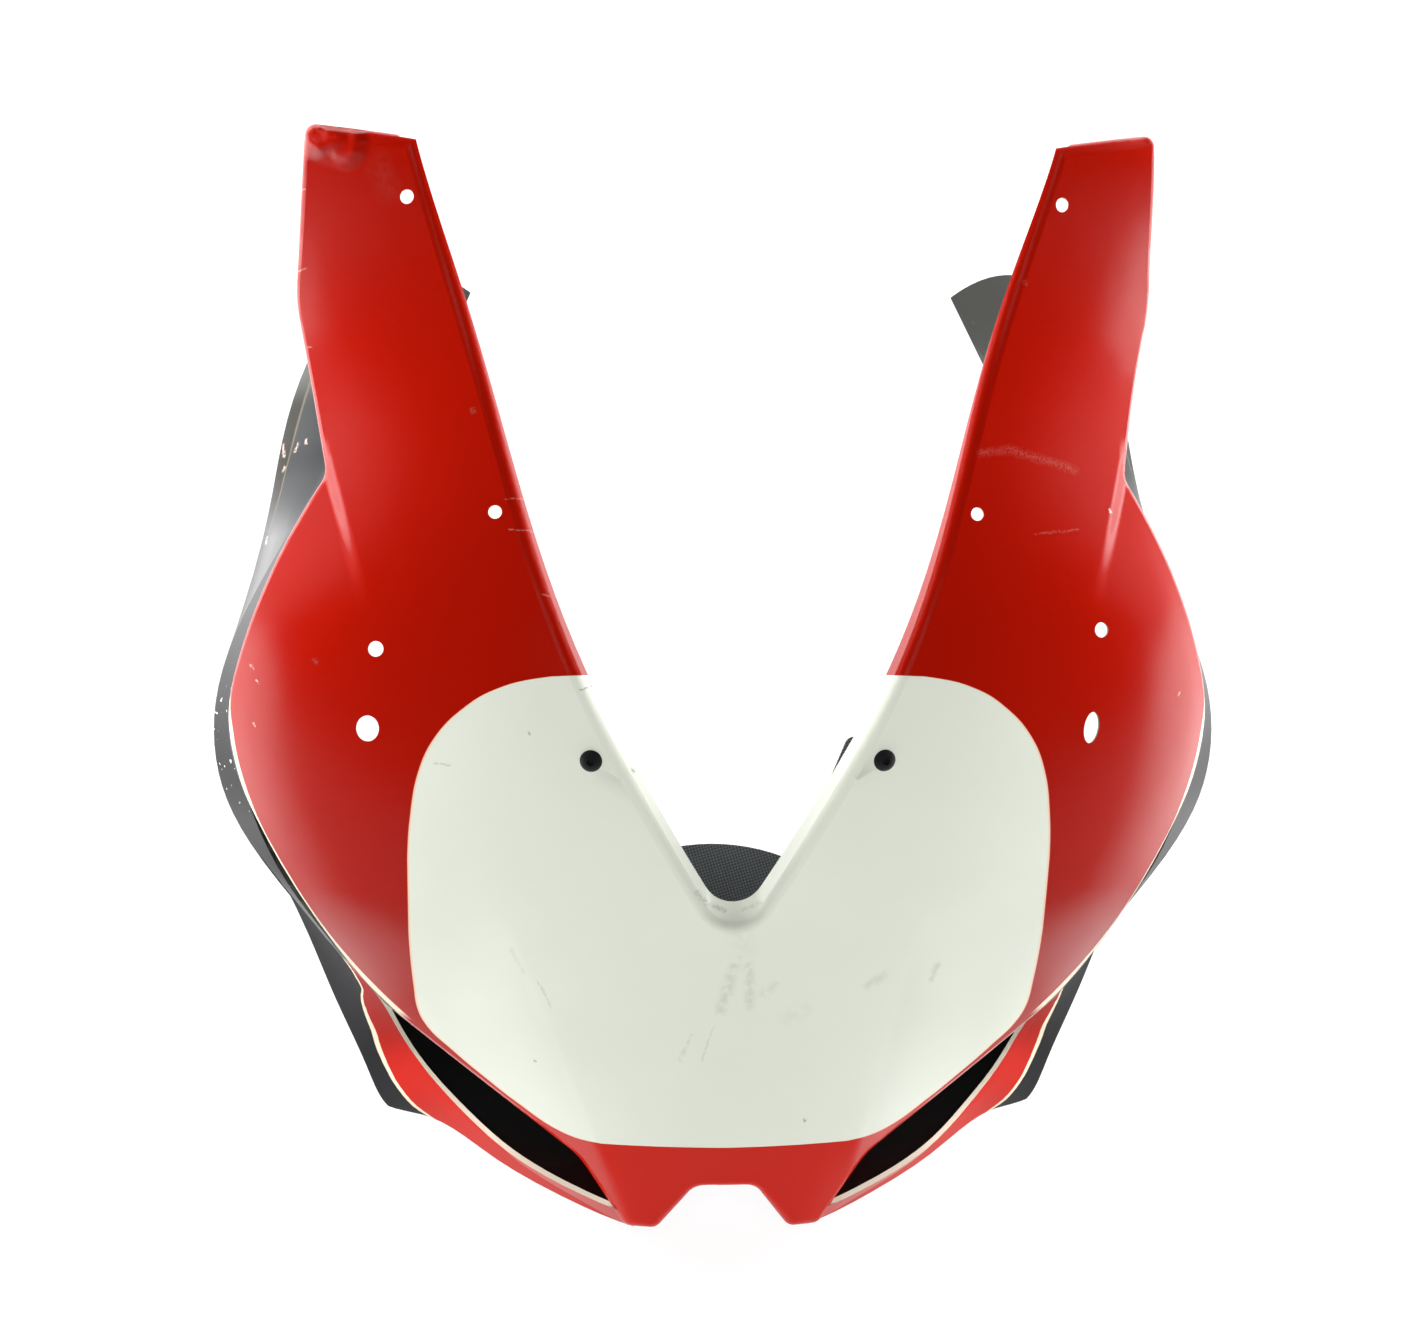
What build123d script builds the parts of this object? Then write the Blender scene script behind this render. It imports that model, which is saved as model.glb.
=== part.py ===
from build123d import *
import os
from math import cos, radians, sin

# Nose fairing of a track motorcycle: one hand-laid glass-fibre moulding with its inner floor and
# the two screws and rubber nuts left in the lower screen holes.
#
# Millimetres. X is across the bike, -Y is forward and +Z is up. The origin is midway between the
# fairing-stay bolts. Most of the shape is drawn on the face plane, which leans back on the bike:
# there x is across, y runs up the face and z stands out of it, towards the front.

# Lay-up and lean of the face, and the planes that trim the moulding
WALL = 2.4
LEAN = 45.0
FRONT = 60.0
RIM_REAR = -122.0
REAR = -186.0
ROOM = 800.0

# Crown of the face: height up it, level on the centre line, half width and depth of the ellipse there
CROWN = [
    (270, 20, 264, 255),
    (176, 15, 260, 235),
    (76, 11, 252, 190),
    (-8, 8, 248, 160),
    (-79, -13, 229, 140),
    (-127, -33, 202, 120),
    (-174, -52, 167, 118),
    (-222, -73, 119, 112),
    (-275, -97, 86, 104),
]
CROWN_EDGE = 10.0

# Outline of the face: arms, cheeks, chin and notch
ARM_TIP = (190.7, 249.5)
ARM_TIP_INNER = (138.0, 238.5)
ARM_WAIST = (198.3, 176.0)
SHOULDER = (183.5, 95.0)
CHEEK_TOP_MID = (206.0, 58.0)
CHEEK_TOP_END = (228.0, 4.0)
CHEEK_WIDE_END = (224.0, -52.0)
CHEEK_LOW_END = (159.0, -150.0)
CHIN_CORNER = (68.0, -222.0)
FOOT = (46.0, -257.0)
FOOT_INNER = (31.0, -257.0)
NOTCH_CORNER = (14.0, -234.5)
TIP_ROUND = 5.0
ARM_ROUND = 60.0
SHOULDER_ROUND = 10.0
CHIN_ROUND = 36.0
FOOT_ROUND = 6.0
NOTCH_ROUND = 9.0
RIM_ROUND = 5.0

# Screen opening on the front view of the bike, the depth of the lip round it at the two ends of the
# face, the room kept clear behind the lip, and the depth of the return on the outside of the arms
SCREEN_TIP = (134.0, 147.0)
SCREEN_MID = (91.5, 43.0)
SCREEN_LOW = (47.5, -32.0)
SCREEN_POINT = -108.5
SCREEN_ROUND = 14.6
LIP_LOW = 22.0
LIP_HIGH = 2.0
LIP_CLEAR = 9.6
ARM_RETURN = 14.0

# Side wall from the ear round to the chin: its front edge and its rear edge on the face plane, and
# how far it swells out just behind the front edge
SKIRT = [
    ((138, 147, -150), (120, 193, -172), 0),
    ((160, 136, -128), (160, 203, -174), 0),
    ((175, 112, -112), (207, 138, -179), 0),
    ((187, 88, -106), (217, 95, -188), 2),
    ((210, 48, -108), (228, 48, -194), 4),
    ((229, -10, -108), (240, -20, -196), 8),
    ((223.5, -50, -108), (233, -56, -196), 9),
    ((212.5, -78, -108), (219, -86, -196), 5),
    ((196, -105, -110), (206, -114, -196), 1),
    ((169, -139, -116), (194, -146, -196), 0),
    ((159, -157, -144), (187, -166, -196), 0),
    ((151, -174, -160), (180, -183, -194), 0),
    ((141, -187, -152), (166, -207, -190), 0),
    ((124, -204, -138), (141, -213, -174), 0),
    ((98, -224, -116), (108, -230, -152), 0),
    ((66, -241, -106), (74, -247, -134), 0),
    ((43, -250, -100), (41, -258, -114), 0),
]
SWELL_AT = 0.16

# Holes drilled square to the face, by their place on it
SCREEN_HOLES_UPPER = (145.6, 214.0)
SCREEN_HOLES_MIDDLE = (107.0, 75.5)
STAY_HOLES = [(-160.0, 15.5), (168.0, 24.5)]
SCREEN_HOLE_R = 3.0
STAY_HOLE_R = 3.5
FILED_HOLES = [(-164.0, -20.0, 5.2, 5.8, 0), (164.0, -20.0, 3.8, 7.2, -8)]
DRILL_END = -80.0

# Button-head screws and rubber nuts in the lower screen holes
SCREW_PLACE = (65.0, -34.0)
SCREW_R = 2.5
SCREW_HOLE_R = 2.7
SCREW_LENGTH = 16.0
HEAD_R = 5.0
HEAD_RISE = 2.9
SEAT_SINK = 0.8
SOCKET_R = 1.7
SOCKET_SIDES = 6
SOCKET_DEPTH = 1.6
NUT_FLANGE_R = 6.6
NUT_FLANGE = 1.6
NUT_R = 4.8
NUT_LENGTH = 12.0
NUT_ROUND = 0.8

# Inner floor: a sheet bent up behind the intakes, with an arched top edge and two lugs
SHEET = 2.0
SHEET_BACK = -178.0
SHEET_TOP = -20.0
SHEET_BEND = -174.0
SHEET_NOSE = -256.0
BEND_ROUND = 20.0
ARCH_TOP = -80.0
ARCH_LOW = (42.0, -89.0)
LUG_INNER = (69.0, -26.0)
LUG_OUTER = (94.0, -30.0)
SHEET_SHOULDER = (112.0, -64.0)
SHEET_SIDE = (250.0, -72.0)
LUG_ROUND = 5.0
OUTLET = (118.0, -112.0)
OUTLET_SIZE = (62.0, 34.0)

FACE = Plane(
    origin=(0, 0, 0),
    x_dir=(1, 0, 0),
    z_dir=(0, -cos(radians(LEAN)), sin(radians(LEAN))),
)


def station(height):
    """Cross-section plane of the face: local x across, local y out of the face."""
    return Plane(
        origin=FACE.from_local_coords((0, height, 0)),
        x_dir=(1, 0, 0),
        z_dir=-FACE.y_dir,
    )


def crown_body(low_inset, high_inset):
    """Solid under the crowned face, sunk by an inset that runs evenly from the chin to the arm tips."""
    ribs = []
    highest = CROWN[0][0]
    lowest = CROWN[-1][0]
    for height, level, half_width, depth in CROWN:
        inset = low_inset + (high_inset - low_inset) * (height - lowest) / (highest - lowest)
        with BuildLine(station(height)) as rib:
            EllipticalCenterArc(
                (0, level - depth),
                half_width - inset,
                depth - inset,
                start_angle=CROWN_EDGE,
                arc_size=180 - 2 * CROWN_EDGE,
            )
        ribs.append(rib.wire())
    skin = Shell.make_loft(ribs).faces()[0]
    return extrude(skin, amount=ROOM, dir=-FACE.z_dir)


def outline_face(inset):
    """Outline of the whole face on the face plane, screen opening included."""
    tip_slope = (ARM_TIP[1] - ARM_TIP_INNER[1]) / (ARM_TIP[0] - ARM_TIP_INNER[0])
    with BuildSketch(FACE.offset(RIM_REAR - inset)) as outline:
        with BuildLine():
            FilletPolyline(
                (0, ARM_TIP[1] - ARM_TIP[0] * tip_slope),
                ARM_TIP,
                ARM_WAIST,
                SHOULDER,
                radius=[TIP_ROUND, ARM_ROUND],
            )
            upper = ThreePointArc(SHOULDER, CHEEK_TOP_MID, CHEEK_TOP_END)
            wide = TangentArc(CHEEK_TOP_END, CHEEK_WIDE_END, tangent=upper % 1)
            TangentArc(CHEEK_WIDE_END, CHEEK_LOW_END, tangent=wide % 1)
            FilletPolyline(
                CHEEK_LOW_END,
                CHIN_CORNER,
                FOOT,
                FOOT_INNER,
                NOTCH_CORNER,
                (0, NOTCH_CORNER[1]),
                radius=[CHIN_ROUND, FOOT_ROUND, FOOT_ROUND, NOTCH_ROUND],
            )
            mirror(about=Plane.YZ)
        make_face()
        for side in (-1, 1):
            fillet(vertices().sort_by_distance((side * SHOULDER[0], SHOULDER[1]))[0], SHOULDER_ROUND)
        if inset:
            offset(amount=-inset)
    return outline.sketch


def screen_opening(margin):
    """Cut of the screen opening, straight back along the bike, larger by a margin."""
    with BuildPart() as opening:
        with BuildSketch(Plane.XZ.offset(ROOM / 2)):
            with BuildLine():
                side = ThreePointArc(SCREEN_TIP, SCREEN_MID, SCREEN_LOW)
                Line(SCREEN_LOW, (0, SCREEN_POINT))
                top = Line(SCREEN_TIP, side @ 0 - (side % 0) * FRONT)
                Line(top @ 1, (0, (top @ 1).Y))
                mirror(about=Plane.YZ)
            make_face()
            fillet(vertices().sort_by(Axis.Y)[0], SCREEN_ROUND)
            if margin:
                offset(amount=margin)
        extrude(amount=-ROOM)
    return opening.part


def hood_solid(inset):
    """Face with its rim and the screen opening, as a solid block, sunk by an inset all round."""
    outline = outline_face(inset)
    crown = crown_body(inset, inset)
    opening = screen_opening(inset)
    with BuildPart() as hood:
        extrude(outline, amount=FRONT - RIM_REAR + inset)
        add(crown, mode=Mode.INTERSECT)
        add(opening, mode=Mode.SUBTRACT)
    return hood.part


def skirt_wall():
    """Side wall and intake lip of the right side: six rails, the faces between them and two ends."""
    front = [FACE.from_local_coords(edge) for edge, _, _ in SKIRT]
    rear = [FACE.from_local_coords(edge) for _, edge, _ in SKIRT]
    last = len(SKIRT) - 1
    sections = []
    for i, (_, _, swell) in enumerate(SKIRT):
        before = max(i - 1, 0)
        after = min(i + 1, last)
        along = rear[i] - front[i]
        path = front[after] + rear[after] - front[before] - rear[before]
        inward = along.cross(path).normalized()
        half = inward * (WALL / 2)
        bend = front[i] + along * SWELL_AT - inward * swell
        outside = [point - half for point in (front[i], bend, rear[i])]
        inside = [point + half for point in (rear[i], bend, front[i])]
        sections.append(outside + inside)
    rails = [Edge.make_spline(points) for points in zip(*sections)]
    sides = [Face.make_surface_from_curves(rails[i - 1], rails[i]) for i in range(len(rails))]
    ends = [Face(Wire.make_polygon(sections[i], close=True)) for i in (0, last)]
    return Solid(Shell(sides + ends))


def drilled(places, bore):
    """Round holes through the face, square to it, one at each place."""
    with BuildPart() as drill:
        with BuildSketch(FACE.offset(FRONT)):
            with Locations(*places):
                Circle(bore)
        extrude(amount=DRILL_END - FRONT)
    return drill.part


def both_sides(place):
    """A place on the face and its mirror image."""
    return [(-place[0], place[1]), place]


# Shell: the face and its rim, hollowed, then the side walls, trims and holes
outer = hood_solid(0)
rim = outer.faces().filter_by(GeomType.BSPLINE).sort_by(SortBy.AREA)[-1].edges()
outer = outer.fillet(RIM_ROUND, rim)
inner = hood_solid(WALL)
behind_lip = crown_body(LIP_LOW, LIP_HIGH)
behind_arm = crown_body(ARM_RETURN, ARM_RETURN)
screen_clear = screen_opening(LIP_CLEAR)
wall = skirt_wall()
seat, outward = max(
    outer.find_intersection_points(Axis(FACE.from_local_coords((*SCREW_PLACE, 0)), FACE.z_dir)),
    key=lambda hit: FACE.to_local_coords(hit[0]).Z,
)
screw_plane = Plane(origin=seat, z_dir=outward)
screen_drill = drilled(both_sides(SCREEN_HOLES_UPPER) + both_sides(SCREEN_HOLES_MIDDLE), SCREEN_HOLE_R)
stay_drill = drilled(STAY_HOLES, STAY_HOLE_R)

with BuildPart() as lip_clear:
    add(behind_lip)
    add(screen_clear, mode=Mode.INTERSECT)
with BuildPart() as arm_clear:
    add(behind_arm)
    with BuildSketch(FACE.offset(-ROOM / 2)):
        with Locations((0, SHOULDER[1] + SHOULDER_ROUND)):
            Rectangle(ROOM, ROOM, align=(Align.CENTER, Align.MIN))
    extrude(amount=ROOM, mode=Mode.INTERSECT)
with BuildPart() as filed_holes:
    with BuildSketch(FACE.offset(FRONT)):
        for across, up, half_across, half_up, turn in FILED_HOLES:
            with Locations(Location((across, up), turn)):
                Ellipse(half_across, half_up)
    extrude(amount=DRILL_END - FRONT)
with BuildPart() as screw_holes:
    with BuildSketch(screw_plane):
        Circle(SCREW_HOLE_R)
    extrude(amount=SCREW_LENGTH, both=True)
    mirror(about=Plane.YZ)

with BuildPart() as fairing_shell:
    add(outer)
    add(inner, mode=Mode.SUBTRACT)
    add(lip_clear.part, mode=Mode.SUBTRACT)
    add(arm_clear.part, mode=Mode.SUBTRACT)
    add(wall)
    add(mirror(wall, about=Plane.YZ, mode=Mode.PRIVATE))
    with BuildSketch(FACE.offset(REAR)):
        Rectangle(ROOM, ROOM)
    extrude(amount=-ROOM, mode=Mode.SUBTRACT)
    add(screen_drill, mode=Mode.SUBTRACT)
    add(stay_drill, mode=Mode.SUBTRACT)
    add(filed_holes.part, mode=Mode.SUBTRACT)
    add(screw_holes.part, mode=Mode.SUBTRACT)

# Inner floor: the bent sheet cut to its top edge, then trimmed where it meets the shell
with BuildPart() as sheet:
    with BuildSketch(Plane(origin=(0, 0, 0), x_dir=FACE.y_dir, z_dir=(1, 0, 0))):
        with BuildLine():
            FilletPolyline(
                (SHEET_TOP, SHEET_BACK),
                (SHEET_BEND, SHEET_BACK),
                (SHEET_NOSE, SHEET_BACK + SHEET_BEND - SHEET_NOSE),
                radius=BEND_ROUND,
            )
        trace(line_width=SHEET)
    extrude(amount=SHEET_SIDE[0], both=True)
    with BuildSketch(FACE.offset(SHEET_BACK - SHEET)):
        with BuildLine():
            ThreePointArc((-ARCH_LOW[0], ARCH_LOW[1]), (0, ARCH_TOP), ARCH_LOW)
            for side in (-1, 1):
                FilletPolyline(
                    *[
                        (side * across, up)
                        for across, up in (ARCH_LOW, LUG_INNER, LUG_OUTER, SHEET_SHOULDER, SHEET_SIDE)
                    ],
                    radius=LUG_ROUND,
                )
            Polyline(
                (-SHEET_SIDE[0], SHEET_SIDE[1]),
                (-SHEET_SIDE[0], ROOM),
                (SHEET_SIDE[0], ROOM),
                SHEET_SIDE,
            )
        make_face()
        for side in (-1, 1):
            with Locations((side * OUTLET[0], OUTLET[1])):
                SlotOverall(*OUTLET_SIZE)
    extrude(amount=2 * SHEET, mode=Mode.SUBTRACT)
    add(fairing_shell.part, mode=Mode.SUBTRACT)
with BuildPart() as inner_floor:
    add(sheet.part.solids().sort_by(SortBy.VOLUME)[-1])

# Screws: button heads drawn down on the face
with BuildPart() as screw:
    with BuildSketch(Plane(origin=screw_plane.origin, x_dir=screw_plane.x_dir, z_dir=-screw_plane.y_dir)):
        with BuildLine():
            Polyline((0, HEAD_RISE), (0, -SCREW_LENGTH), (SCREW_R, -SCREW_LENGTH), (SCREW_R, -SEAT_SINK))
            Polyline((SCREW_R, -SEAT_SINK), (HEAD_R, -SEAT_SINK), (HEAD_R, 0))
            RadiusArc((HEAD_R, 0), (0, HEAD_RISE), -(HEAD_R**2 + HEAD_RISE**2) / (2 * HEAD_RISE))
        make_face()
    revolve(axis=Axis(screw_plane.origin, screw_plane.z_dir))
    with BuildSketch(screw_plane.offset(HEAD_RISE)):
        RegularPolygon(SOCKET_R, SOCKET_SIDES)
    extrude(amount=-SOCKET_DEPTH, mode=Mode.SUBTRACT)
    add(fairing_shell.part, mode=Mode.SUBTRACT)
with BuildPart() as screen_screws:
    add(screw.part.solids().sort_by(SortBy.VOLUME)[-1])
    mirror(about=Plane.YZ)

# Rubber nuts: flanged sleeves drawn up behind the face
with BuildPart() as nut:
    with BuildSketch(screw_plane.offset(SEAT_SINK - WALL)):
        Circle(NUT_FLANGE_R)
    extrude(amount=-SEAT_SINK - NUT_FLANGE)
    with BuildSketch(screw_plane.offset(-WALL)):
        Circle(NUT_R)
    extrude(amount=-NUT_LENGTH)
    fillet(faces().sort_by(Axis(screw_plane.origin, screw_plane.z_dir))[0].edges(), NUT_ROUND)
    with BuildSketch(screw_plane):
        Circle(SCREW_R)
    extrude(amount=-ROOM, mode=Mode.SUBTRACT)
    add(fairing_shell.part, mode=Mode.SUBTRACT)
with BuildPart() as well_nuts:
    add(nut.part.solids().sort_by(SortBy.VOLUME)[-1])
    mirror(about=Plane.YZ)

os.makedirs("parts", exist_ok=True)
fairing_shell.part.label = "fairing_shell"
inner_floor.part.label = "inner_floor"
screen_screws.part.label = "screen_screws"
well_nuts.part.label = "well_nuts"
export_step(fairing_shell.part, "parts/fairing_shell.step")
export_step(inner_floor.part, "parts/inner_floor.step")
export_step(screen_screws.part, "parts/screen_screws.step")
export_step(well_nuts.part, "parts/well_nuts.step")
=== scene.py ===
import math

import bpy
from mathutils import Matrix, Vector

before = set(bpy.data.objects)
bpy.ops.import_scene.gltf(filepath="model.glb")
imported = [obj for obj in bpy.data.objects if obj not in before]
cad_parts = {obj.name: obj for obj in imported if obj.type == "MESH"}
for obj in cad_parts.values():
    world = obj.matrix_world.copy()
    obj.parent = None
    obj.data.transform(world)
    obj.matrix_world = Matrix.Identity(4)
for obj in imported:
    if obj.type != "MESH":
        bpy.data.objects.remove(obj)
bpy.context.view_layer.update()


# Fairing shell: one hand-laid glass-fibre moulding, sprayed gloss red with an ivory field on the
# nose and black sides behind cream pinstripes. It is drilled for the screen and the stay, its
# intake lips are trimmed back to the pale laminate, and it has been raced and scratched.
class Finish:
    """Nodes that give one surface its finish, or the studio its light, in metres of the row frame."""

    def __init__(self, owner, coordinates="Object"):
        owner.use_nodes = True
        self.owner = owner
        self.tree = owner.node_tree
        self.tree.nodes.clear()
        self.place = self.node("ShaderNodeTexCoord").outputs[coordinates]

    def node(self, kind, inputs=(), **settings):
        """New node with these settings, its inputs set to values or linked to other nodes."""
        made = self.tree.nodes.new(kind)
        for key, value in settings.items():
            setattr(made, key, value)
        for key, value in dict(inputs).items():
            if isinstance(value, bpy.types.NodeSocket):
                self.tree.links.new(value, made.inputs[key])
            else:
                made.inputs[key].default_value = value
        return made

    def math(self, operation, *values):
        return self.node("ShaderNodeMath", enumerate(values), operation=operation).outputs[0]

    def both(self, first, *others):
        """Share of the surface that lies in every one of these masks."""
        for other in others:
            first = self.math("MULTIPLY", first, other)
        return first

    def most(self, first, *others):
        """Largest of these values at each place."""
        for other in others:
            first = self.math("MAXIMUM", first, other)
        return first

    def vector(self, operation, first, second, output="Vector"):
        inputs = {0: first, 1: second}
        return self.node("ShaderNodeVectorMath", inputs, operation=operation).outputs[output]

    def dot(self, first, second):
        return self.vector("DOT_PRODUCT", first, second, "Value")

    def ramp(self, value, low, high, start=0.0, end=1.0, change="LINEAR"):
        """start where value is low and end where it is high, with an even change between."""
        inputs = {"Value": value, "From Min": low, "From Max": high, "To Min": start, "To Max": end}
        return self.node("ShaderNodeMapRange", inputs, interpolation_type=change).outputs[0]

    def step(self, value, low, high, start=0.0, end=1.0):
        """start where value is low and end where it is high, with a smooth change between."""
        return self.ramp(value, low, high, start, end, "SMOOTHSTEP")

    def curve(self, value, points):
        """Height of a smooth curve drawn through points, at value."""
        (low, high), (least, greatest) = [(min(axis), max(axis)) for axis in zip(*points)]
        drawn = self.node("ShaderNodeFloatCurve", {"Value": self.ramp(value, low, high)})
        line = drawn.mapping.curves[0]
        flat = [((x - low) / (high - low), (y - least) / (greatest - least)) for x, y in sorted(points)]
        line.points[0].location = flat[0]
        line.points[1].location = flat[-1]
        for x, y in flat[1:-1]:
            line.points.new(x, y)
        drawn.mapping.update()
        return self.ramp(drawn.outputs[0], 0, 1, least, greatest)

    def blend(self, factor, under, over):
        """Colour over laid on colour under."""
        inputs = {0: factor, 6: under, 7: over}
        return self.node("ShaderNodeMix", inputs, data_type="RGBA").outputs[2]

    def noise(self, scale, detail=2.0, output=0):
        inputs = {"Vector": self.place, "Scale": scale, "Detail": detail}
        return self.node("ShaderNodeTexNoise", inputs).outputs[output]

    def stroke(self, flat, start, end):
        """Distance from a flat place to the line between two points."""
        run = Vector((*end, 0)) - Vector((*start, 0))
        offset = self.vector("SUBTRACT", flat, (*start, 0))
        along = self.ramp(self.dot(offset, run / run.length_squared), 0, 1)
        foot = self.node("ShaderNodeVectorMath", {0: run, "Scale": along}, operation="SCALE").outputs[0]
        return self.vector("DISTANCE", offset, foot, "Value")

    def strokes(self, flat, lines):
        """Mask of strokes, each given by its two ends, half width and strength."""
        drawn = []
        for start, end, width, strength in lines:
            drawn.append(self.ramp(self.stroke(flat, start, end), 0, width, strength, 0))
        return self.most(*drawn)

    def coat(self, piece, **inputs):
        """Puts the finish on a piece, with these shader inputs, spaces in their names as underscores."""
        named = {key.replace("_", " "): value for key, value in inputs.items()}
        surface = self.node("ShaderNodeBsdfPrincipled", named).outputs[0]
        self.node("ShaderNodeOutputMaterial", {0: surface})
        piece.data.materials.clear()
        piece.data.materials.append(self.owner)


RED = (0.37, 0.0050, 0.0004, 1)
RED_WORN = (0.33, 0.0048, 0.0005, 1)
RED_LIT_CHIN = (0.54, 0.0095, 0.0012, 1)
IVORY = (0.76, 0.79, 0.70, 1)
IVORY_STAINED = (0.68, 0.72, 0.61, 1)
FIELD_EDGE = (0.86, 0.60, 0.44, 1)
CREAM = (0.84, 0.72, 0.54, 1)
BLACK = (0.011, 0.011, 0.013, 1)
EAR_GREY = (0.085, 0.086, 0.080, 1)
EAR_DECK_SHADE = (0.034, 0.036, 0.037, 1)
EAR_OLIVE_SHADE = (0.026, 0.024, 0.020, 1)
EAR_FOLD = (0.15, 0.13, 0.095, 1)
RAW = (0.12, 0.125, 0.10, 1)
RAW_DUSTY = (0.125, 0.128, 0.112, 1)
CUT_EDGE = (0.74, 0.70, 0.57, 1)
PRIMER_AND_HIGHLIGHT = (0.72, 0.55, 0.48, 1)
GRIME = (0.16, 0.16, 0.13, 1)

# Paint lines by height up the face: half width of the ivory field, depth of the hood's edge, depth of
# the line between the red lip and the black panel under it, and half width of the fold under the arm
FIELD = [
    (0.0040, 0.060), (0.0025, 0.0865), (-0.0019, 0.1045), (-0.0094, 0.1183), (-0.0247, 0.1335),
    (-0.0401, 0.1406), (-0.0598, 0.1443), (-0.0793, 0.1458), (-0.1135, 0.1458), (-0.1400, 0.1439),
    (-0.1510, 0.1424), (-0.1590, 0.1386), (-0.1715, 0.1260), (-0.1855, 0.1095), (-0.1950, 0.0975),
    (-0.2100, 0.0746), (-0.2143, 0.0573), (-0.2152, -0.0100),
]
RIM = [
    (0.252, -0.085), (0.176, -0.090), (0.110, -0.080), (0.095, -0.066), (0.058, -0.0745),
    (0.030, -0.0860), (0.004, -0.0950), (-0.020, -0.1005), (-0.052, -0.1035), (-0.090, -0.1010),
    (-0.129, -0.1000), (-0.150, -0.0995), (-0.200, -0.0960), (-0.257, -0.1040),
]
LIP_LINE = [
    (-0.100, -0.112), (-0.130, -0.118), (-0.142, -0.1290), (-0.157, -0.1585), (-0.172, -0.1710),
    (-0.183, -0.1752), (-0.194, -0.1740), (-0.2025, -0.1718), (-0.212, -0.1715), (-0.230, -0.1715),
]
ARM_CREASE = [(0.105, 0.1815), (0.080, 0.1745), (0.060, 0.1690), (0.040, 0.1635), (0.020, 0.1590)]

# Pale scratches and one painted highlight, dark marks and soft smudges: two ends across and up the
# face, half width, strength
PALE_MARKS_AND_HIGHLIGHT = [
    ((-0.1950, 0.2205), (-0.1915, 0.2205), 0.0005, 0.5),
    ((-0.1960, 0.1880), (-0.1925, 0.1885), 0.0005, 0.5),
    ((-0.1925, 0.1545), (-0.1908, 0.1540), 0.0005, 0.5),
    ((-0.1985, 0.1180), (-0.1985, 0.1160), 0.0008, 0.9),
    ((-0.2121, 0.1180), (-0.2110, 0.1120), 0.0012, 0.9),
    ((-0.2030, 0.1165), (-0.2045, 0.1130), 0.0010, 0.8),
    ((-0.2098, 0.1060), (-0.2110, 0.1040), 0.0009, 0.8),
    ((-0.2178, 0.0707), (-0.2182, 0.0680), 0.0009, 0.8),
    # Painted highlight: these two wide faint strokes on the right arm are a soft curved highlight, not a
    # scratch.
    ((0.1090, 0.1030), (0.1230, 0.1052), 0.0026, 0.06),
    ((0.1230, 0.1052), (0.1560, 0.0975), 0.0030, 0.07),
    ((0.1340, 0.0670), (0.1570, 0.0700), 0.0008, 0.10),
    ((-0.1030, 0.0812), (-0.0940, 0.0816), 0.0005, 0.22),
    ((-0.1010, 0.0678), (-0.0895, 0.0668), 0.0005, 0.28),
    ((-0.0880, 0.0395), (-0.0835, 0.0382), 0.0006, 0.25),
    ((-0.2190, 0.0090), (-0.2180, 0.0060), 0.0007, 0.6),
    ((-0.2160, 0.0015), (-0.2148, 0.0000), 0.0006, 0.8),
    ((-0.2182, -0.0180), (-0.2176, -0.0195), 0.0007, 0.7),
    ((0.2130, -0.0040), (0.2120, -0.0060), 0.0006, 0.7),
    ((0.1740, 0.0800), (0.1745, 0.0785), 0.0009, 0.9),
]
DARK_MARKS = [
    ((-0.0700, -0.0026), (-0.0620, -0.0008), 0.0005, 0.9),
    ((-0.0922, -0.0218), (-0.0918, -0.0222), 0.0011, 0.9),
    ((-0.0464, -0.0380), (-0.0458, -0.0386), 0.0014, 1.0),
    ((0.0358, -0.2022), (0.0364, -0.2026), 0.0011, 0.9),
    ((-0.0892, -0.1740), (-0.0886, -0.1744), 0.0008, 0.8),
    ((-0.1340, -0.0352), (-0.1270, -0.0362), 0.0008, 0.35),
    ((-0.0880, -0.1352), (-0.0820, -0.1468), 0.0008, 0.25),
    ((-0.0080, -0.1560), (-0.0130, -0.1720), 0.0008, 0.22),
    ((-0.0120, -0.0990), (-0.0170, -0.0930), 0.0014, 0.45),
    ((-0.0040, -0.1020), (-0.0120, -0.0990), 0.0014, 0.40),
    ((0.0040, -0.1020), (0.0120, -0.0985), 0.0012, 0.25),
    ((-0.1170, 0.1210), (-0.1168, 0.1205), 0.0018, 0.30),
    ((-0.1880, 0.0105), (-0.1875, 0.0098), 0.0016, 0.30),
    ((0.1300, 0.1800), (0.1302, 0.1795), 0.0014, 0.35),
]
SMUDGES = [
    ((0.0010, -0.1250), (-0.0050, -0.1480), 0.0040, 0.22),
    ((0.0072, -0.1270), (0.0082, -0.1460), 0.0036, 0.20),
    ((0.0200, -0.1360), (0.0140, -0.1400), 0.0030, 0.14),
    ((0.0260, -0.1520), (0.0330, -0.1480), 0.0060, 0.07),
    ((0.0620, -0.1380), (0.0700, -0.1330), 0.0034, 0.16),
    ((0.0950, -0.1290), (0.0925, -0.1360), 0.0024, 0.22),
    ((-0.0180, -0.1600), (-0.0230, -0.1720), 0.0014, 0.22),
    ((0.0000, -0.1080), (0.0050, -0.1180), 0.0080, 0.08),
    ((-0.1540, 0.2180), (-0.1580, 0.2280), 0.0080, 0.07),
    ((-0.1000, -0.1200), (-0.0940, -0.1310), 0.0016, 0.14),
]

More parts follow.
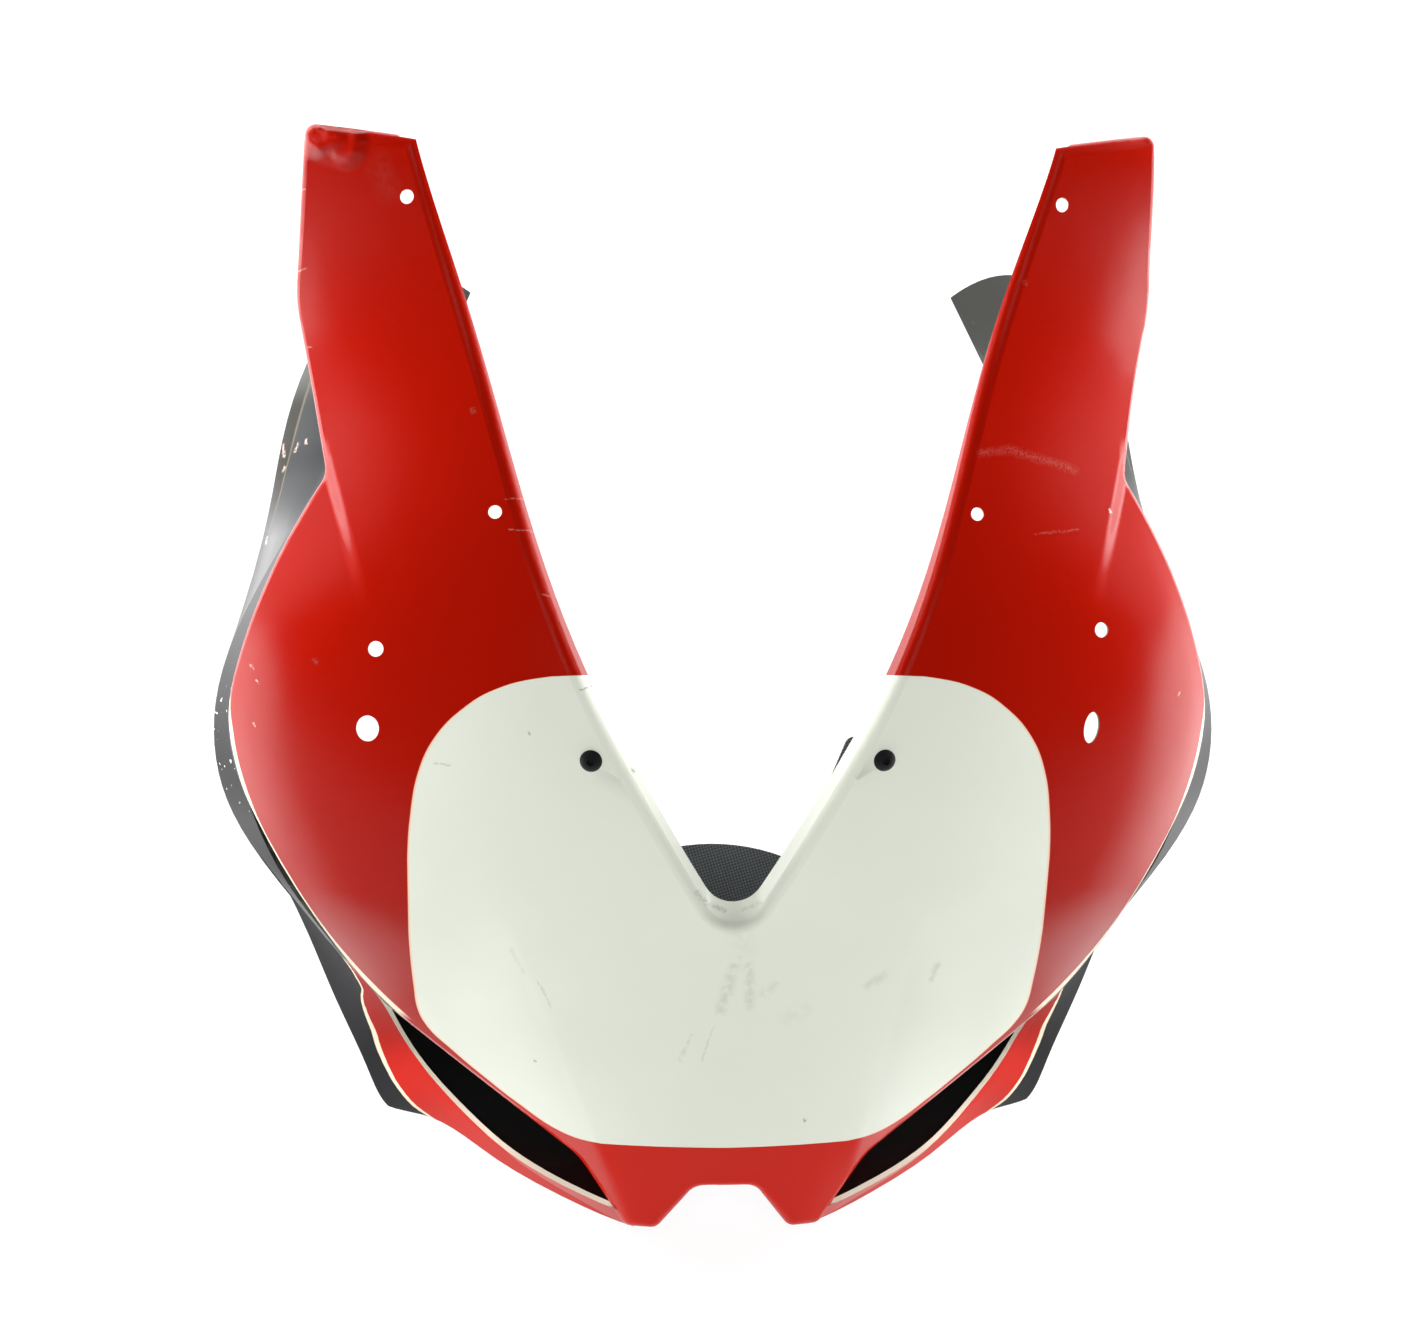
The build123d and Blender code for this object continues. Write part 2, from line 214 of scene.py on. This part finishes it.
# Across, up the face and out of it; the face leans back at 45 degrees
LEAN = math.sqrt(0.5)
FACE_UP = Vector((0, LEAN, LEAN))
FACE_OUT = Vector((0, -LEAN, LEAN))
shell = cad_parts["fairing_shell"]
paint = Finish(bpy.data.materials.new("painted laminate"))
across = paint.node("ShaderNodeSeparateXYZ", {0: paint.place}).outputs[0]
half = paint.math("ABSOLUTE", across)
height = paint.dot(paint.place, FACE_UP)
depth = paint.dot(paint.place, FACE_OUT)
flat = paint.node("ShaderNodeCombineXYZ", {0: across, 1: height}).outputs[0]
facing = paint.node("ShaderNodeNewGeometry").outputs["True Normal"]
towards = paint.dot(facing, FACE_OUT)
upwards = paint.dot(facing, FACE_UP)
to_the_right = paint.node("ShaderNodeSeparateXYZ", {0: facing}).outputs[0]
sideways = paint.both(to_the_right, paint.math("SIGN", across))
outwards = paint.math("ADD", paint.both(sideways, half), paint.both(upwards, height))

# Hood: red, with painted light that makes the chin and lips brighter, and the ivory field and its thin
# edge. Here and below, a pair of values is where a change starts and ends, and a grain is the scale and
# detail of a noise.
CLOUD_GRAIN = (14.0, 3.0)
PAST_RIM = (-0.0015, -0.0035)
LIT_CHIN_STARTS = (-0.150, -0.215)
FIELD_TOP = 0.0040
FIELD_BOTTOM = -0.2153
FIELD_BLUR = (-0.0002, 0.0003)
FIELD_EDGE_BLUR = (-0.0011, -0.0006)
cloud = paint.noise(*CLOUD_GRAIN)
over_rim = paint.math("SUBTRACT", depth, paint.curve(height, RIM))
behind = paint.step(over_rim, *PAST_RIM)
in_field = paint.math("SUBTRACT", paint.curve(height, FIELD), half)
in_field = paint.math("MINIMUM", in_field, paint.math("SUBTRACT", FIELD_TOP, height))
in_field = paint.math("MINIMUM", in_field, paint.math("SUBTRACT", height, FIELD_BOTTOM))
red = paint.blend(cloud, RED, RED_WORN)
# Painted light: the red is made brighter low on the chin and lips, as if lit from the floor in front.
red = paint.blend(paint.step(height, *LIT_CHIN_STARTS), red, RED_LIT_CHIN)
ivory = paint.blend(cloud, IVORY, IVORY_STAINED)
colour = paint.blend(paint.step(in_field, *FIELD_EDGE_BLUR), red, FIELD_EDGE)
colour = paint.blend(paint.step(in_field, *FIELD_BLUR), colour, ivory)

# Cheek pinstripe, on the rounded edge of the hood, with black past it
CHEEK_TOP = (0.002, -0.004)
CHEEK_END = (-0.158, -0.152)
STRIPE_FRONT = (0.0060, 0.0056)
STRIPE_BACK = (0.0030, 0.0026)
on_cheek = paint.both(paint.step(height, *CHEEK_TOP), paint.step(height, *CHEEK_END))
stripe = paint.both(paint.step(over_rim, *STRIPE_FRONT), on_cheek)
colour = paint.blend(stripe, colour, CREAM)
past_stripe = paint.both(paint.step(over_rim, *STRIPE_BACK), on_cheek)
colour = paint.blend(past_stripe, colour, BLACK)

# Behind the hood: black sides, grey ears with painted shade that darkens the lower deck, and the red lip
# under each intake with its cream line
EAR_STARTS = (0.050, 0.100)
DECK_STARTS = (0.155, 0.135)
PAST_FOLD = (0.0006, -0.0010)
FOLD_SLOPE = 0.18
FOLD_DEPTH = 0.1384
FOLD_BLUR = (0.0018, 0.0004)
FOLD_STRENGTH = 0.6
LIP_STARTS = (-0.128, -0.134)
LIP_LINE_BACK = (-0.0014, -0.0010)
LIP_LINE_FRONT = (0.0010, 0.0014)
fold_gap = paint.math("ADD", depth, paint.math("MULTIPLY_ADD", height, FOLD_SLOPE, FOLD_DEPTH))
fold = paint.step(paint.math("ABSOLUTE", fold_gap), *FOLD_BLUR)
# Painted shade: the lower deck is the ears' grey made darker, and darker still past the fold.
deck_shade_colour = paint.blend(paint.step(fold_gap, *PAST_FOLD), EAR_DECK_SHADE, EAR_OLIVE_SHADE)
ear_colour = paint.blend(paint.step(height, *DECK_STARTS), EAR_GREY, deck_shade_colour)
ear_colour = paint.blend(paint.both(fold, FOLD_STRENGTH), ear_colour, EAR_FOLD)
side_colour = paint.blend(paint.step(height, *EAR_STARTS), BLACK, ear_colour)
low = paint.step(height, *LIP_STARTS)
lip_gap = paint.math("SUBTRACT", depth, paint.curve(height, LIP_LINE))
side_colour = paint.blend(paint.both(paint.step(lip_gap, *LIP_LINE_BACK), low), side_colour, CREAM)
side_colour = paint.blend(paint.both(paint.step(lip_gap, *LIP_LINE_FRONT), low), side_colour, red)
colour = paint.blend(behind, colour, side_colour)

# Wear: ragged dark marks, smudges and pale scratches on the face, chips along the left side; among the
# pale marks is a painted highlight on the right arm
RAGGED_GRAIN = 260.0
RAGGED_REACH = 0.0022
MARK_GRAIN = 900.0
MARK_BREAKS = (0.35, 0.55)
SMUDGE_GRAIN = 240.0
SMUDGE_BREAKS = (0.30, 0.60)
GRIME_FACING = (0.1, 0.3)
SCRATCH_AND_HIGHLIGHT_FACING = (0.0, 0.1)
CHIP_GRAIN = (420.0, 1.0)
CHIP_EDGE = (0.71, 0.73)
CHIPS_ON_LEFT = (-0.19, -0.20)
CHIPS_FROM_BELOW = (-0.075, -0.040)
CHIPS_FROM_ABOVE = (0.004, -0.010)
wobble = paint.vector("SUBTRACT", paint.noise(RAGGED_GRAIN, output="Color"), (0.5, 0.5, 0.5))
wobble = paint.vector("MULTIPLY", wobble, (RAGGED_REACH, RAGGED_REACH, 0))
ragged_flat = paint.vector("ADD", flat, wobble)
broken = paint.step(paint.noise(MARK_GRAIN), *MARK_BREAKS)
patchy = paint.step(paint.noise(SMUDGE_GRAIN), *SMUDGE_BREAKS)
dark = paint.both(paint.strokes(ragged_flat, DARK_MARKS), broken, paint.step(towards, *GRIME_FACING))
colour = paint.blend(dark, colour, GRIME)
smudged = paint.both(paint.strokes(ragged_flat, SMUDGES), patchy, paint.step(towards, *GRIME_FACING))
colour = paint.blend(smudged, colour, GRIME)
pale = paint.both(paint.strokes(ragged_flat, PALE_MARKS_AND_HIGHLIGHT), broken, paint.step(towards, *SCRATCH_AND_HIGHLIGHT_FACING))
colour = paint.blend(pale, colour, PRIMER_AND_HIGHLIGHT)
chips = paint.both(
    paint.step(paint.noise(*CHIP_GRAIN), *CHIP_EDGE),
    behind,
    paint.step(across, *CHIPS_ON_LEFT),
    paint.step(height, *CHIPS_FROM_BELOW),
    paint.step(height, *CHIPS_FROM_ABOVE),
)
colour = paint.blend(chips, colour, CUT_EDGE)

# Bare laminate: trimmed intake lips, hole walls and the whole inside
LIP_CUT_TURN = (0.12, 0.25)
LIP_CUT_FACING = (0.25, 0.40)
LIP_CUT_STARTS = (-0.140, -0.146)
HOLES = [
    (-0.1456, 0.2140), (0.1456, 0.2140), (-0.1070, 0.0755), (0.1070, 0.0755),
    (-0.1600, 0.0155), (0.1680, 0.0245), (-0.1640, -0.0200), (0.1640, -0.0200),
]
HOLE_REACH = 0.009
HOLE_BLUR = 0.0002
HOLE_WALL_FACING = (0.45, 0.35)
BACK_FACING = (-0.12, -0.2)
INWARD_FACING = (-0.02, -0.04)
INSIDE_DEPTH = (-0.060, -0.066)
ARM_FLANGE = (0.160, 0.164)
RAW_GRAIN = (90.0, 4.0)
lip_turn = paint.most(upwards, paint.math("MULTIPLY", sideways, -1.0))
lip_cut = paint.both(
    paint.step(lip_turn, *LIP_CUT_TURN),
    paint.step(towards, *LIP_CUT_FACING),
    behind,
    paint.step(height, *LIP_CUT_STARTS),
)
colour = paint.blend(lip_cut, colour, CUT_EDGE)
nearest_hole = HOLE_REACH
for hole in HOLES:
    hole_gap = paint.vector("DISTANCE", flat, (*hole, 0), "Value")
    nearest_hole = paint.math("MINIMUM", nearest_hole, hole_gap)
hole_wall = paint.both(
    paint.step(nearest_hole, HOLE_REACH, HOLE_REACH - HOLE_BLUR),
    paint.step(paint.math("ABSOLUTE", towards), *HOLE_WALL_FACING),
)
colour = paint.blend(hole_wall, colour, CUT_EDGE)
inner_wall = paint.both(
    paint.step(outwards, *INWARD_FACING),
    paint.most(paint.step(depth, *INSIDE_DEPTH), paint.step(half, *ARM_FLANGE)),
)
inside = paint.most(paint.step(towards, *BACK_FACING), inner_wall)
inside = paint.both(inside, paint.math("SUBTRACT", 1.0, lip_cut))
raw = paint.blend(paint.noise(*RAW_GRAIN), RAW, RAW_DUSTY)
colour = paint.blend(inside, colour, raw)

# Soft creases of the nose and below the arms, the crushed corner of the left arm, and a little
# orange peel
PEEL_GRAIN = 320.0
PEEL_RISE = 0.00002
NOSE_CREASES = [((-0.1031, -0.1065), (-0.0613, -0.2127)), ((0.0812, -0.1262), (0.0653, -0.2095))]
CREASE_REACH = 0.045
CREASE_ROUNDING = 0.004
CREASE_STARTS = (-0.095, -0.150)
CREASE_FALL = -0.0115
ARM_CREASE_BLUR = (-0.001, 0.007)
ARM_CREASE_STARTS = (0.026, 0.085)
ARM_CREASE_ENDS = (0.118, 0.100)
ARM_CREASE_FALL = -0.0030
CRUSHED_CORNER = [(-0.1860, 0.2420), (-0.1720, 0.2365)]
CRUSHED_REACH = (0.011, 0.002)
CRUSHED_GRAIN = (75.0, 1.0)
CRUSHED_RISE = 0.0055
relief = paint.both(paint.noise(PEEL_GRAIN), PEEL_RISE)
for crease_top, crease_end in NOSE_CREASES:
    run = (Vector(crease_end) - Vector(crease_top)).normalized()
    outer = Vector((run.y, -run.x, 0)) * (1 if crease_top[0] * run.y > 0 else -1)
    reach = paint.dot(paint.vector("SUBTRACT", flat, (*crease_top, 0)), outer)
    reach = paint.math("SMOOTH_MAX", reach, 0.0, CREASE_ROUNDING)
    share = paint.ramp(reach, 0, CREASE_REACH)
    eased = paint.both(share, paint.math("SUBTRACT", 2.0, share))
    fall = paint.both(eased, paint.step(height, *CREASE_STARTS), CREASE_FALL)
    relief = paint.math("ADD", relief, fall)
crease_gap = paint.math("SUBTRACT", half, paint.curve(height, ARM_CREASE))
arm_fall = paint.both(
    paint.step(crease_gap, *ARM_CREASE_BLUR),
    paint.step(height, *ARM_CREASE_STARTS),
    paint.step(height, *ARM_CREASE_ENDS),
    ARM_CREASE_FALL,
)
relief = paint.math("ADD", relief, arm_fall)
crushed = paint.step(paint.stroke(flat, *CRUSHED_CORNER), *CRUSHED_REACH)
relief = paint.math("ADD", relief, paint.both(paint.noise(*CRUSHED_GRAIN), crushed, CRUSHED_RISE))
bumped = paint.node("ShaderNodeBump", {"Strength": 1.0, "Distance": 1.0, "Height": relief}).outputs[0]

# Roughness: polished hood, satin lips, and dull ears, lower black panels and inside
PAINT_ROUGH = 0.15
CLOUD_ROUGH = 0.12
RAW_ROUGH = 0.75
EAR_ROUGH = 0.8
EAR_DULL = (0.050, 0.110)
PANEL_ROUGH = 0.75
PANEL_DEPTH = (-0.117, -0.120)
PANEL_STARTS = (-0.070, -0.090)
LIP_ROUGH = 0.45
panel = paint.both(behind, paint.step(depth, *PANEL_DEPTH), paint.step(height, *PANEL_STARTS))
rough = paint.most(
    paint.math("MULTIPLY_ADD", cloud, CLOUD_ROUGH, PAINT_ROUGH),
    paint.both(inside, RAW_ROUGH),
    paint.both(behind, paint.step(height, *EAR_DULL), EAR_ROUGH),
    paint.both(panel, PANEL_ROUGH),
    paint.both(behind, low, LIP_ROUGH),
)
paint.coat(shell, Base_Color=colour, Roughness=rough, IOR=1.38, Normal=bumped)

# Inner floor: a black woven laminate sheet, bent up behind the intakes and bonded inside the shell.
# Below the arch, behind the intakes, the sheet is painted near-black as shade, so only the arch in the
# screen opening shows the weave.
WEAVE_DARK = (0.110, 0.117, 0.129, 1)
WEAVE_LIGHT = (0.245, 0.260, 0.284, 1)
INTAKE_SHADE = (0.0025, 0.0028, 0.0030, 1)
YARN = 0.0021
YARN_TURN = (math.radians(-45), 0, math.radians(28))
YARN_BLUR = (-0.5, 0.5)
YARN_RISE = 0.0004
YARN_STRENGTH = 0.6
UNSHADED_STARTS = (-0.140, -0.128)
floor_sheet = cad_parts["inner_floor"]
weave = Finish(bpy.data.materials.new("woven laminate"))
turned = weave.node("ShaderNodeMapping", {"Vector": weave.place, "Rotation": YARN_TURN}).outputs[0]
warp, weft, _ = weave.node("ShaderNodeSeparateXYZ", {0: turned}).outputs
warp_wave = weave.math("SINE", weave.math("MULTIPLY", warp, 2 * math.pi / YARN))
weft_wave = weave.math("SINE", weave.math("MULTIPLY", weft, 2 * math.pi / YARN))
cell = weave.both(warp_wave, weft_wave)
woven = weave.blend(weave.step(cell, *YARN_BLUR), WEAVE_DARK, WEAVE_LIGHT)
# Painted shade: the sheet is near-black low down behind the intakes, with its weave and yarn bumps only
# above.
unshaded = weave.step(weave.dot(weave.place, FACE_UP), *UNSHADED_STARTS)
sheet_colour = weave.blend(unshaded, INTAKE_SHADE, woven)
inputs = {"Strength": YARN_STRENGTH, "Distance": YARN_RISE, "Height": weave.both(cell, unshaded)}
yarns = weave.node("ShaderNodeBump", inputs).outputs[0]
weave.coat(floor_sheet, Base_Color=sheet_colour, Roughness=0.55, Specular_IOR_Level=0.2, Normal=yarns)

# Screen screws: black button heads left in the lower screen holes, turned steel.
# Their blacking is satin and a little uneven.
SCREW_BLACK = (0.006, 0.006, 0.007, 1)
SCREW_WORN = (0.014, 0.014, 0.015, 1)
BLACKING_GRAIN = 700.0
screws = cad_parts["screen_screws"]
screw_black = Finish(bpy.data.materials.new("black screw"))
blacking = screw_black.blend(screw_black.noise(BLACKING_GRAIN), SCREW_BLACK, SCREW_WORN)
screw_black.coat(screws, Base_Color=blacking, Roughness=0.42, Specular_IOR_Level=0.3)

# Well nuts: moulded rubber sleeves drawn up behind the shell by the screws.
# The rubber is matt, with a bloom on it.
NUT_BLACK = (0.012, 0.012, 0.012, 1)
NUT_BLOOM = (0.030, 0.030, 0.029, 1)
BLOOM_GRAIN = (350.0, 4.0)
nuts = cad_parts["well_nuts"]
nut_rubber = Finish(bpy.data.materials.new("nut rubber"))
rubber = nut_rubber.blend(nut_rubber.noise(*BLOOM_GRAIN), NUT_BLACK, NUT_BLOOM)
nut_rubber.coat(nuts, Base_Color=rubber, Roughness=0.8)

# Studio floor: a pale plane that is nearly white to the camera and keeps a faint shadow. It lights
# the part softly from below, most from the front, and in the gloss it shows beneath and beside it.
FLOOR_LEVEL = -0.2825
FLOOR_SIZE = 8
FLOOR_GREY = (0.20, 0.20, 0.20, 1)
FLOOR_WHITE = 0.86
FLOOR_LIGHT = 1.15
FRONT_LIGHT = 1.9
FRONT_STARTS = (-0.15, -0.45)
FRONT_WIDTH = (0.60, 0.20)
FLOOR_SHINE = 2.2
LEAST_SHINE = 0.05
SHINE_STARTS = (-0.16, 0.02)
BENEATH_ENDS = (0.08, -0.06)
BESIDE_STARTS = (0.24, 0.50)
BEYOND_SHINE = 0.15
bpy.ops.mesh.primitive_plane_add(size=FLOOR_SIZE, location=(0, 0, FLOOR_LEVEL))
ground = bpy.context.object
ground.name = "studio_floor"
pale_floor = Finish(bpy.data.materials.new("studio floor"))
rays = pale_floor.node("ShaderNodeLightPath").outputs
floor_across, floor_back, _ = pale_floor.node("ShaderNodeSeparateXYZ", {0: pale_floor.place}).outputs
floor_half = pale_floor.math("ABSOLUTE", floor_across)
shine = pale_floor.ramp(floor_back, *SHINE_STARTS, LEAST_SHINE, FLOOR_SHINE)
beneath = pale_floor.step(floor_back, *BENEATH_ENDS)
beside = pale_floor.step(floor_half, *BESIDE_STARTS)
shine = pale_floor.both(shine, pale_floor.most(beneath, beside, BEYOND_SHINE))
in_front = pale_floor.both(
    pale_floor.step(floor_back, *FRONT_STARTS),
    pale_floor.step(floor_half, *FRONT_WIDTH),
)
soft_light = pale_floor.ramp(in_front, 0, 1, FLOOR_LIGHT, FRONT_LIGHT)
lighting = pale_floor.ramp(rays["Is Glossy Ray"], 0, 1, soft_light, shine)
strength = pale_floor.ramp(rays["Is Camera Ray"], 0, 1, lighting, FLOOR_WHITE)
lit = pale_floor.node("ShaderNodeBsdfDiffuse", {"Color": FLOOR_GREY}).outputs[0]
glow = pale_floor.node("ShaderNodeEmission", {"Color": (1, 1, 1, 1), "Strength": strength}).outputs[0]
glowing = pale_floor.node("ShaderNodeAddShader", {0: lit, 1: glow}).outputs[0]
pale_floor.node("ShaderNodeOutputMaterial", {0: glowing})
ground.data.materials.append(pale_floor.owner)

# Camera: square on to the leaning face but for a small turn, as in the photograph.
# Its shift sets the photograph's framing.
TURN = math.radians(4.5)
DISTANCE = 1.3
LENS = 75.33
PICTURE = (1412, 1322)
AXIS_AT = (739.0, 683.7)
look = FACE_OUT * math.cos(TURN) - Vector((math.sin(TURN), 0, 0))
right = FACE_UP.cross(look)
facing_back = Matrix((right, FACE_UP, look)).transposed().to_4x4()
camera = bpy.data.cameras.new("camera")
camera.lens = LENS
camera.shift_x = (PICTURE[0] / 2 - AXIS_AT[0]) / PICTURE[0]
camera.shift_y = (AXIS_AT[1] - PICTURE[1] / 2) / PICTURE[0]
viewer = bpy.data.objects.new("camera", camera)
bpy.context.scene.collection.objects.link(viewer)
viewer.matrix_world = Matrix.Translation(look * DISTANCE) @ facing_back
bpy.context.scene.camera = viewer

# Lamps: one broad lamp by the camera and one on each side, a little behind the part.
# None of them shows in the gloss of the paint.
LAMP_SIZE = 1.4
LAMP_DISTANCE = 2.4
LAMP_POWER = 34.0
SIDE_LAMP_POWER = 75.0
SIDE_LAMP_AT = (1.2, 0.8, 0.2)
lamps = [("broad_lamp", look * LAMP_DISTANCE, LAMP_POWER)]
for side in (-1, 1):
    lamps.append(("side_lamp", Vector((side * SIDE_LAMP_AT[0], *SIDE_LAMP_AT[1:])), SIDE_LAMP_POWER))
for name, stand, power in lamps:
    lamp = bpy.data.lights.new(name, "AREA")
    lamp.size = LAMP_SIZE
    lamp.energy = power
    lamp_head = bpy.data.objects.new(name, lamp)
    bpy.context.scene.collection.objects.link(lamp_head)
    aimed = stand.to_track_quat("Z", "Y").to_matrix().to_4x4()
    lamp_head.matrix_world = Matrix.Translation(stand) @ aimed
    lamp_head.visible_glossy = False

# Surrounding light: dark on the camera's side and bright in a band behind the part, which gives the
# paint its pale edges, less bright straight behind it, and white where the camera sees it.
SIDE_LIGHT = 3.6
CAMERA_SIDE_LIGHT = 0.02
BAND_ENDS = (-0.60, -0.16)
STRAIGHT_BEHIND = (-0.85, -0.52)
STRAIGHT_BEHIND_SHARE = 0.16
world = bpy.data.worlds.new("studio")
bpy.context.scene.world = world
sky = Finish(world, "Generated")
from_camera = sky.dot(sky.place, look)
band = sky.step(from_camera, *BAND_ENDS, SIDE_LIGHT, CAMERA_SIDE_LIGHT)
dimmed = sky.both(band, sky.ramp(from_camera, *STRAIGHT_BEHIND, STRAIGHT_BEHIND_SHARE))
seen = sky.node("ShaderNodeLightPath").outputs["Is Camera Ray"]
sky_light = sky.node("ShaderNodeBackground", {"Strength": sky.ramp(seen, 0, 1, dimmed, 1.0)}).outputs[0]
sky.node("ShaderNodeOutputWorld", {0: sky_light})

bpy.context.scene.view_settings.view_transform = "Standard"
